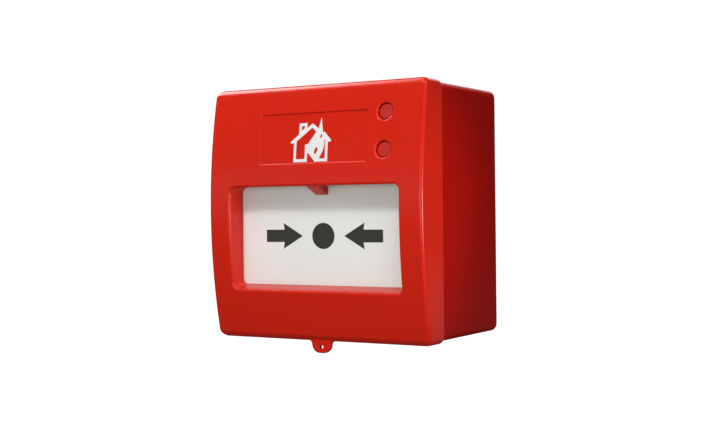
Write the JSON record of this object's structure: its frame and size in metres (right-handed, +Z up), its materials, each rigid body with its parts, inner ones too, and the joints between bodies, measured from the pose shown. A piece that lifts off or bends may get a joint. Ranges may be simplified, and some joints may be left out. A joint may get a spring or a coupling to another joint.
{
  "type": "manual call point",
  "caption": "Surface-mounted manual fire call point: red box and bowed front cover with a window over a white resettable operating plate, status lenses and a seal lug.",
  "frame": {"origin": "middle of the back box's rear face, on the wall plane", "axes": "+X to the right seen from the front, +Y into the wall, +Z up; the front faces -Y"},
  "size_m": [0.089, 0.0595, 0.0959],
  "materials": {
    "red_cover": "smooth moulded red ABS, gloss",
    "red_box": "moulded red ABS, satin gloss",
    "red_lens": "translucent red, slightly frosted",
    "white_plate": "white moulded plate with black printed marks",
    "ivory_base": "ivory moulded base, fine matt texture",
    "black_plastic": "black moulded plastic, satin",
    "yellow_plastic": "bright yellow indicator",
    "clear_plastic": "clear moulded light guide",
    "green_board": "green solder resist with copper tracks",
    "green_plastic": "green terminal block",
    "red_diffuser": "red diffused resin",
    "resistor_lacquer": "lacquered resistor with colour bands",
    "zinc_steel": "bright zinc-plated steel",
    "spring_steel": "drawn spring steel",
    "brass": "stamped brass"
  },
  "bodies": {
    "housing": {"back_box": "red_box", "mechanism_base": "ivory_base", "base_screw_1": "zinc_steel", "base_screw_2": "zinc_steel", "base_screw_3": "zinc_steel", "base_screw_4": "zinc_steel", "pivot_rod": "zinc_steel", "latch_spring": "spring_steel", "light_guide_upper": "clear_plastic", "light_guide_lower": "clear_plastic", "circuit_board": "green_board", "board_screw_1": "zinc_steel", "board_screw_2": "zinc_steel", "board_screw_3": "zinc_steel", "microswitch_body": "black_plastic", "microswitch_pin_1": "brass", "microswitch_pin_2": "brass", "microswitch_pin_3": "brass", "status_led_upper": "red_diffuser", "status_led_lower": "red_diffuser", "alarm_resistor": "resistor_lacquer", "monitor_resistor": "resistor_lacquer", "terminal_block": "green_plastic", "terminal_screw_1": "zinc_steel", "terminal_screw_2": "zinc_steel", "terminal_screw_3": "zinc_steel", "terminal_screw_4": "zinc_steel", "terminal_clamp_1": "brass", "terminal_clamp_2": "brass", "terminal_clamp_3": "brass", "terminal_clamp_4": "brass"},
    "cover": {"front_cover": "red_cover", "status_lens_upper": "red_lens", "status_lens_lower": "red_lens"},
    "press_plate": {"operating_plate": "white_plate", "plate_carrier": "black_plastic", "plate_spring": "spring_steel"},
    "flag": {"indicator_flag": "yellow_plastic"},
    "switch_lever": {"microswitch_lever": "spring_steel"},
    "switch_plunger": {"microswitch_plunger": "red_diffuser"},
    "reset_cam": {"reset_cam": "black_plastic"},
    "latch": {"cover_latch": "black_plastic"}
  },
  "joints": [
    {"name": "cover_swing", "type": "hinge", "parent": "housing", "child": "cover", "pos_m": [0, -0.0435, 0.0455], "axis": [-1, 0, 0], "range_deg": [0, 60]},
    {"name": "plate_press", "type": "hinge", "parent": "housing", "child": "press_plate", "pos_m": [0, -0.048, 0.0155], "axis": [1, 0, 0], "range_deg": [0, 4.5], "stiffness_Nm_per_rad": 0.05, "springref_deg": -5.73},
    {"name": "flag_drop", "type": "slide", "parent": "housing", "child": "flag", "axis": [0, 0, -1], "range_m": [0, 0.0056]},
    {"name": "lever_swing", "type": "hinge", "parent": "housing", "child": "switch_lever", "pos_m": [-0.008, -0.0406, -0.012], "axis": [0, 0, 1], "range_deg": [0, 9.8]},
    {"name": "plunger_push", "type": "slide", "parent": "housing", "child": "switch_plunger", "axis": [0, 1, 0], "range_m": [0, 0.0009]},
    {"name": "cam_turn", "type": "hinge", "parent": "housing", "child": "reset_cam", "pos_m": [0, -0.0484, -0.04], "axis": [0, 0, 1], "range_deg": [0, 90]},
    {"name": "latch_lift", "type": "slide", "parent": "housing", "child": "latch", "axis": [0, 0, 1], "range_m": [0, 0.0025], "stiffness_N_per_m": 100, "springref_m": -0.003, "deforming": ["latch_spring"]}
  ],
  "couplings": [
    {"joint": "flag_drop", "follows": "plate_press", "m_per_rad": 0.0713},
    {"joint": "lever_swing", "follows": "plate_press", "ratio": 2.1667},
    {"joint": "plunger_push", "follows": "plate_press", "m_per_rad": 0.01128}
  ]
}
